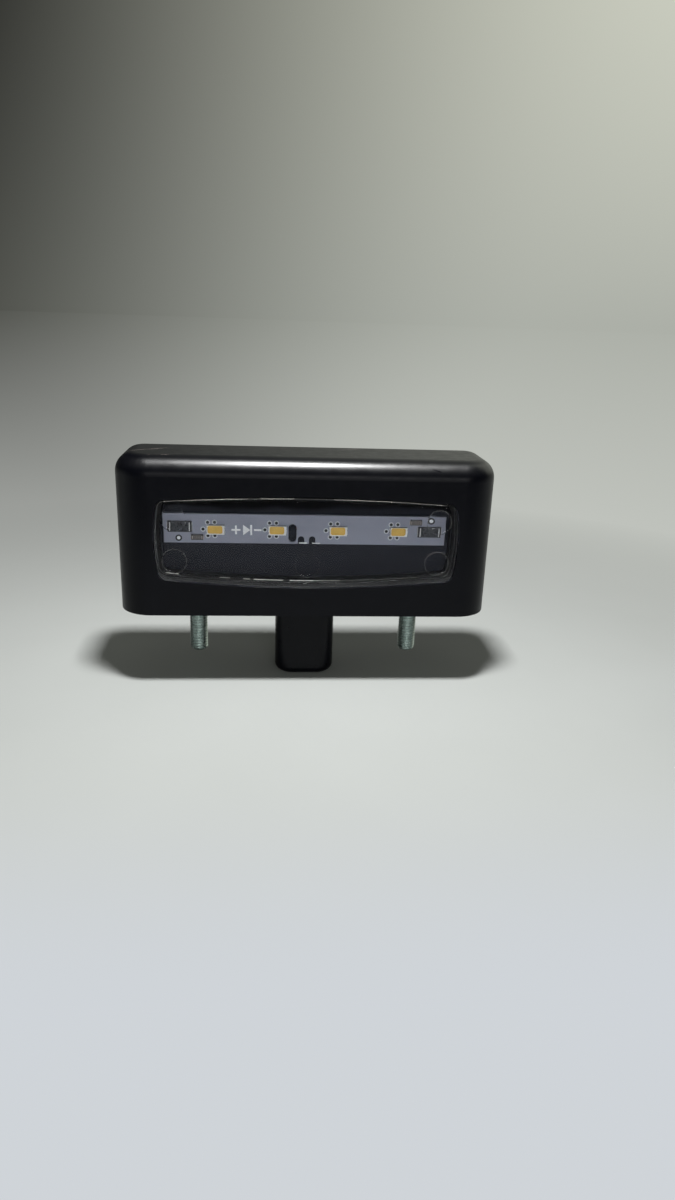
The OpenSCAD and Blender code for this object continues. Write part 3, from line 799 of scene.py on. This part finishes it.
def vias(pale, dark):
    """Holes by each light source inside a pale ring, each with a dark disc in it as painted shade."""
    bm = bmesh.new()
    for x, z in via_places():
        rim = [(VIA_R - 0.01, BOARD_Y - 0.02), (VIA_R + 0.04, BOARD_Y - 0.045),
               (0.66, BOARD_Y - 0.04), (0.70, BOARD_Y)]
        add_loops(bm, [at_y(circle(x, z, r, 24), y) for r, y in rim])
    rings = from_bmesh("via_rings", bm, 40)
    rings.data.materials.append(pale)
    ride(rings)
    # Dark discs in the holes: painted shade.
    bm = bmesh.new()
    for x, z in via_places():
        shade_disc = [(VIA_R - 0.005, BOARD_Y + 0.3), (VIA_R - 0.005, BOARD_Y - 0.015),
                (VIA_R * 0.6, BOARD_Y + 0.03)]
        add_loops(bm, [at_y(circle(x, z, r, 24), y) for r, y in shade_disc], last_cap=True)
    shade_discs = from_bmesh("via_shade_discs", bm, 40)
    shade_discs.data.materials.append(dark)
    ride(shade_discs)


def domed_disc(bm, x, z, r, y, rise, n=28):
    """A low round bead on a plane across Y."""
    rings = [(r, y), (r * 0.93, y - rise * 0.55), (r * 0.7, y - rise * 0.9), (r * 0.35, y - rise)]
    add_loops(bm, [at_y(circle(x, z, q, n), t) for q, t in rings], last_cap=True)


def fiducials(bright, dark):
    """Tinned aiming dots in a clear ring of bare board; the dots are coloured white as a painted reflection.
    """
    bm = bmesh.new()
    ring = [(RING_R, BOARD_Y), (RING_R - 0.02, BOARD_Y - 0.015), (DOT_R - 0.02, BOARD_Y - 0.015)]
    for x, z in FIDUCIALS:
        add_loops(bm, [at_y(circle(x, z, r, 28), y) for r, y in ring])
    rings = from_bmesh("aiming_rings", bm, 40)
    rings.data.materials.append(dark)
    ride(rings)
    bm = bmesh.new()
    for x, z in FIDUCIALS:
        domed_disc(bm, x, z, DOT_R, BOARD_Y - 0.01, 0.05)
    dots = from_bmesh("aiming_dots", bm, 60)
    dots.data.materials.append(bright)
    ride(dots)


def thick_line(points, width):
    """Outline of a straight stroke between two points."""
    (x0, z0), (x1, z1) = points
    v = Vector((x1 - x0, z1 - z0)).normalized() * width / 2
    return [(x0 + v.y, z0 - v.x), (x1 + v.y, z1 - v.x), (x1 - v.y, z1 + v.x), (x0 - v.y, z0 + v.x)]


def polarity_marks(material):
    """Printed plus, diode and minus marks between the first two light sources."""
    z, w = MARKS_Z, STROKE
    strokes = [thick_line(((-20.2, z), (-17.8, z)), w),
               thick_line(((-19.0, z - 1.2), (-19.0, z + 1.2)), w),
               [(-17.1, z - 1.4), (-15.2, z), (-17.1, z + 1.4)],
               thick_line(((-14.95, z - 1.4), (-14.95, z + 1.4)), w),
               thick_line(((-14.2, z), (-12.2, z)), w)]
    bm = bmesh.new()
    for k, stroke in enumerate(strokes):
        join_into(bm, flat_shape("stroke_%d" % k, [stroke], BOARD_Y - 0.02 - 0.001 * k, BOARD_Y + 0.01))
    obj = from_bmesh("polarity_marks", bm, 30)
    obj.data.materials.append(material)
    return ride(obj)


def light_source(name, node, x, package, yellow, side, metal):
    """Light source: pale package with its sides painted dark as shade, yellow fill in its dish, and solder
    at both ends.
    """
    w, h, t = LED_W, LED_H, LED_T
    inset = 0.14
    shapes = [(w, h, 0.12, 0.0, 0.0), (w, h, 0.12, t - 0.08, 0.0), (w - 0.1, h - 0.1, 0.12, t, 0.0),
              (w - 0.66, h - 0.38, 0.55, t, -inset), (w - 0.80, h - 0.46, 0.50, t - 0.12, -inset),
              (w - 1.3, h - 0.84, 0.35, t - 0.05, -inset), (w - 2.6, h - 1.6, 0.2, t - 0.02, -inset)]
    loops = [at_y(rounded(a, b, r, x + dx, LED_Z - 0.7 * dx), BOARD_Y - y) for a, b, r, y, dx in shapes]
    bm = bmesh.new()
    add_loops(bm, loops, first_cap=True, last_cap=True, materials=[2, 0, 0, 1, 1, 1])
    for end in (-1, 1):
        fillet = [(0.5, 2.1, 0.0), (0.45, 2.0, 0.10), (0.30, 1.9, 0.26), (0.2, 1.8, 0.36)]
        rings = [at_y(rounded(a, b, 0.1, x + end * w / 2, LED_Z, 3), BOARD_Y - y) for a, b, y in fillet]
        add_loops(bm, rings, last_cap=True, materials=[3, 3, 3, 3])
    obj = from_bmesh(name, bm, 40)
    for material in (package, yellow, side, metal):
        obj.data.materials.append(material)
    return ride(obj, node, slot="led_package")


def chip(name, node, place, size, body, ends, side, bright, slot):
    """Chip resistor: glazed body, sides painted dark as shade, plated ends coloured near black as a painted
    reflection, with a bright rib, and solder at the feet.
    """
    x, z = BOARD_X + place[0], BOARD_MID + place[1]
    w, h, t = size
    cap = 0.15 * w
    glazed, plated, dark, shiny = range(4)
    bm = bmesh.new()

    def stack(mid, rings, r, n, kinds, **caps):
        """Skins rounded rectangles, given by width, height and rise over the board."""
        loops = [at_y(rounded(a, b, r, *mid, n), BOARD_Y - y) for a, b, y in rings]
        add_loops(bm, loops, last_cap=True, materials=kinds, **caps)

    stack((x, z), [(w - 0.1, h - 0.05, 0.0), (w - 0.04, h - 0.04, 0.06),
                   (w - 0.04, h - 0.04, t - 0.06), (w - 0.12, h - 0.16, t - 0.02)],
          0.06, 3, [dark, dark, dark, glazed], first_cap=True)
    stack((x, z), [(w - 2 * cap, h - 0.34, t - 0.03), (w - 2 * cap - 0.1, h - 0.42, t),
                   (w - 2 * cap - 0.5, h - 0.8, t + 0.015)],
          0.12, 4, [dark, glazed, glazed])
    for end in (-1, 1):
        stack((x + end * (w - cap) / 2, z), [(cap, h, 0.0), (cap, h, t - 0.06), (cap - 0.06, h - 0.12, t)],
              0.05, 3, [dark, plated, plated])
        stack((x + end * (w / 2 - cap * 0.62), z - 0.05),
              [(cap * 0.34, h - 0.5, t - 0.01), (cap * 0.28, h - 0.6, t + 0.02)],
              0.04, 3, [shiny, shiny])
        stack((x + end * w / 2, z - 0.1),
              [(0.36, h - 0.5, 0.0), (0.32, h - 0.54, 0.08), (0.14, h - 0.7, t * 0.5)],
              0.06, 3, [shiny, shiny, shiny])
    obj = from_bmesh(name, bm, 35)
    for material in (body, ends, side, bright):
        obj.data.materials.append(material)
    return ride(obj, node, slot=slot)


def snapped_edge(material):
    """Rough pale fibres across the mouths of the two notches, where the board was snapped off."""
    bm = bmesh.new()
    low = BOARD_MID - BOARD_H / 2 + 0.12
    for x0, x1, top in ((-2.15, 0.02, 0.34), (1.45, 3.65, 0.24)):
        count = 16
        for i in range(count):
            a = x0 + (x1 - x0) * i / count
            b = x0 + (x1 - x0) * (i + 1.15) / count
            tall = top * (0.8 + 0.2 * math.sin(i * 2.3 + x0))
            out = 0.12 + 0.05 * math.sin(i * 1.7)
            add_loops(bm, [[(a, BOARD_Y - out, low), (b, BOARD_Y - out, low),
                            (b, BOARD_Y + 0.02, low), (a, BOARD_Y + 0.02, low)],
                           [(a, BOARD_Y - out * 0.7, low + tall), (b, BOARD_Y - out * 0.7, low + tall),
                            (b, BOARD_Y + 0.02, low + tall), (a, BOARD_Y + 0.02, low + tall)]],
                      first_cap=True, last_cap=True)
    obj = from_bmesh("snapped_edge", bm, 30)
    obj.data.materials.append(material)
    return ride(obj)


# Stage, light and camera

def floor(material):
    """A wide round floor, facing up."""
    bm = bmesh.new()
    rings = [100, 300, 1000, 3000, 12000]
    add_loops(bm, [[(x, y, 0.0) for x, y in circle(0, 0, r, 64)] for r in rings], first_cap=True)
    obj = from_bmesh("floor", bm)
    if obj.data.polygons[0].normal.z < 0:
        obj.data.flip_normals()
    obj.data.materials.append(material)


def surroundings():
    """Pale air all round for the eye, and a weak even light from it."""
    world = bpy.data.worlds.new("surroundings")
    bpy.context.scene.world = world
    world.use_nodes = True
    n = Nodes(world.node_tree)
    way = n.axes(n.add("ShaderNodeTexCoord").outputs["Generated"])
    pale = surround(n, way["X"], way["Z"])
    mirrored = n.blend(n.smooth(way["Y"], 0.0, 0.3), DARK_ROOM, pale)
    looked_at = n.blend(n.smooth(way["Y"], 0.55, 0.85), FRONT_FLOOR, pale)
    view = n.blend(n.add("ShaderNodeLightPath").outputs["Is Camera Ray"], mirrored, looked_at)
    n.link(n.blend(seen(n), EVEN_LIGHT, view), n.tree.nodes["Background"].inputs["Color"])


def softbox(name, place, target, size, power):
    """A rectangular lamp at a place in millimetres, turned to its target; size in metres."""
    data = bpy.data.lights.new(name, "AREA")
    data.shape = "RECTANGLE"
    data.size, data.size_y = size
    data.energy = power
    obj = bpy.data.objects.new(name, data)
    bpy.context.scene.collection.objects.link(obj)
    place, target = Vector(place) * MM, Vector(target) * MM
    obj.location = place
    obj.rotation_euler = (target - place).to_track_quat("-Z", "Y").to_euler()


def camera():
    """The photograph's viewing angle."""
    yaw, pitch, roll = (math.radians(a) for a in (YAW, PITCH_DOWN, ROLL))
    ahead = Vector((-math.sin(yaw), math.cos(yaw), 0))
    right = Vector((math.cos(yaw), math.sin(yaw), 0))
    up = Vector((0, 0, 1))
    look = ahead * math.cos(pitch) - up * math.sin(pitch)
    rise = up * math.cos(pitch) + ahead * math.sin(pitch)
    cx = right * math.cos(roll) + rise * math.sin(roll)
    cy = rise * math.cos(roll) - right * math.sin(roll)
    data = bpy.data.cameras.new("camera")
    data.lens, data.sensor_width, data.sensor_fit = FOCAL, 36.0, "AUTO"
    data.clip_start, data.clip_end = 0.005, 50.0
    obj = bpy.data.objects.new("camera", data)
    bpy.context.scene.collection.objects.link(obj)
    turn = Matrix((cx, cy, -look)).transposed().to_4x4()
    obj.matrix_world = Matrix.Translation(Vector(CAMERA_AT) * MM) @ turn
    bpy.context.scene.camera = obj


def dress(name, material):
    """Gives a CAD node its finished material."""
    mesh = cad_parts[name].data
    if not mesh.materials:
        mesh.materials.append(material)
    for i in range(len(mesh.materials)):
        mesh.materials[i] = material


camera()

bright_tin = tin()
dress("housing", housing_plastic())
dress("base", base_plastic())
dress("tray", tray_plastic())
dress("base_seal", grain("rubber", (0.010, 0.010, 0.011), (0.018, 0.018, 0.019), 0.4, 0.75, 0.02))
dress("lens_seal", adhesive())
dress("rectifier", grain("epoxy", (0.012, 0.012, 0.013), (0.022, 0.022, 0.023), 0.3, 0.5, 0.01))
dress("potting", grain("resin", (0.006, 0.006, 0.007), (0.010, 0.010, 0.011), 2.0, 0.18, 0.02))
for side, low, high in (("left", (0.30, 0.012, 0.010), (0.40, 0.022, 0.016)),
                        ("right", (0.010, 0.010, 0.011), (0.020, 0.020, 0.022))):
    dress("contact_" + side, bright_tin)
    dress("lead_" + side, grain("insulation_" + side, low, high, 0.5, 0.42, 0.01))

lens(*lens_materials())
zinc_plate = zinc()
stud("threaded_stud_left", "stud_left", -STUD_X, 0.4, zinc_plate)
stud("threaded_stud_right", "stud_right", STUD_X, 2.1, zinc_plate)

mask = solder_mask()
board(mask)
vias(grain("via_ring", (0.50, 0.51, 0.54), (0.62, 0.63, 0.65), 0.3, 0.4),
     grain("via_hole_shade", (0.004, 0.004, 0.005), (0.010, 0.010, 0.011), 0.2, 0.4))
# White aiming dots: painted reflection in place of the tin's own shine.
fiducials(grain("tin_painted_white", (0.80, 0.81, 0.82), (0.95, 0.95, 0.95), 0.3, 0.3),
          grain("bare_board", (0.006, 0.006, 0.007), (0.014, 0.014, 0.015), 0.3, 0.5))
polarity_marks(grain("print_white", (0.80, 0.80, 0.80), (0.92, 0.92, 0.91), 0.25, 0.6, 0.006))
snapped_edge(grain("fibre", (0.78, 0.78, 0.74), (0.95, 0.95, 0.92), 0.15, 0.6, 0.03))

package = grain("package_white", (0.74, 0.73, 0.70), (0.84, 0.83, 0.80), 0.4, 0.4, 0.006)
# Near-black sides of the light sources: painted shade.
shaded_package_side = grain("shaded_package_side", (0.006, 0.005, 0.005), (0.012, 0.011, 0.011), 0.3, 0.5, 0.006)
yellow = phosphor()
for i, x in enumerate(LED_X):
    light_source("light_source_%d" % (i + 1), "led_%d" % (i + 1), x,
                 package, yellow, shaded_package_side, bright_tin)

dark_glaze = grain("dark_glaze", (0.008, 0.008, 0.010), (0.055, 0.057, 0.064), 0.7, 0.3, 0.01)
brown_glaze = grain("brown_glaze", (0.065, 0.055, 0.048), (0.13, 0.11, 0.10), 0.5, 0.35, 0.01)
# Plated ends coloured near black: painted reflection of the dark surroundings.
plated = dull_metal("plated_ends", (0.025, 0.025, 0.027), (0.060, 0.060, 0.063), 0.35)
# Near-black chip sides: painted shade on their upper sides.
shaded_chip_side = grain("shaded_chip_side", (0.006, 0.006, 0.007), (0.014, 0.014, 0.016), 0.3, 0.4, 0.006)
solder = grain("solder_bright", (0.38, 0.38, 0.38), (0.62, 0.62, 0.60), 0.35, 0.3, 0.02)
rosy = grain("solder_rosy", (0.34, 0.28, 0.24), (0.52, 0.44, 0.39), 0.35, 0.3, 0.02)
for side, place in zip(("left", "right"), BIG_CHIP_AT):
    chip("chip_" + side, "resistor_" + side, place, BIG_CHIP,
         dark_glaze, plated, shaded_chip_side, solder, "chip_dark")
for side, place in zip(("left", "right"), SMALL_CHIP_AT):
    chip("small_chip_" + side, "small_resistor_" + side, place, SMALL_CHIP,
         brown_glaze, plated, shaded_chip_side, rosy, "chip_brown")

floor(pale_floor())
surroundings()
softbox("key", (3, -50, 290), (0, 0, 20), (0.036, 0.034), 0.79)
softbox("front_fill", (60, -880, 170), (0, 0, 40), (0.5, 0.06), 1.2)

bpy.context.scene.view_settings.view_transform = "Standard"
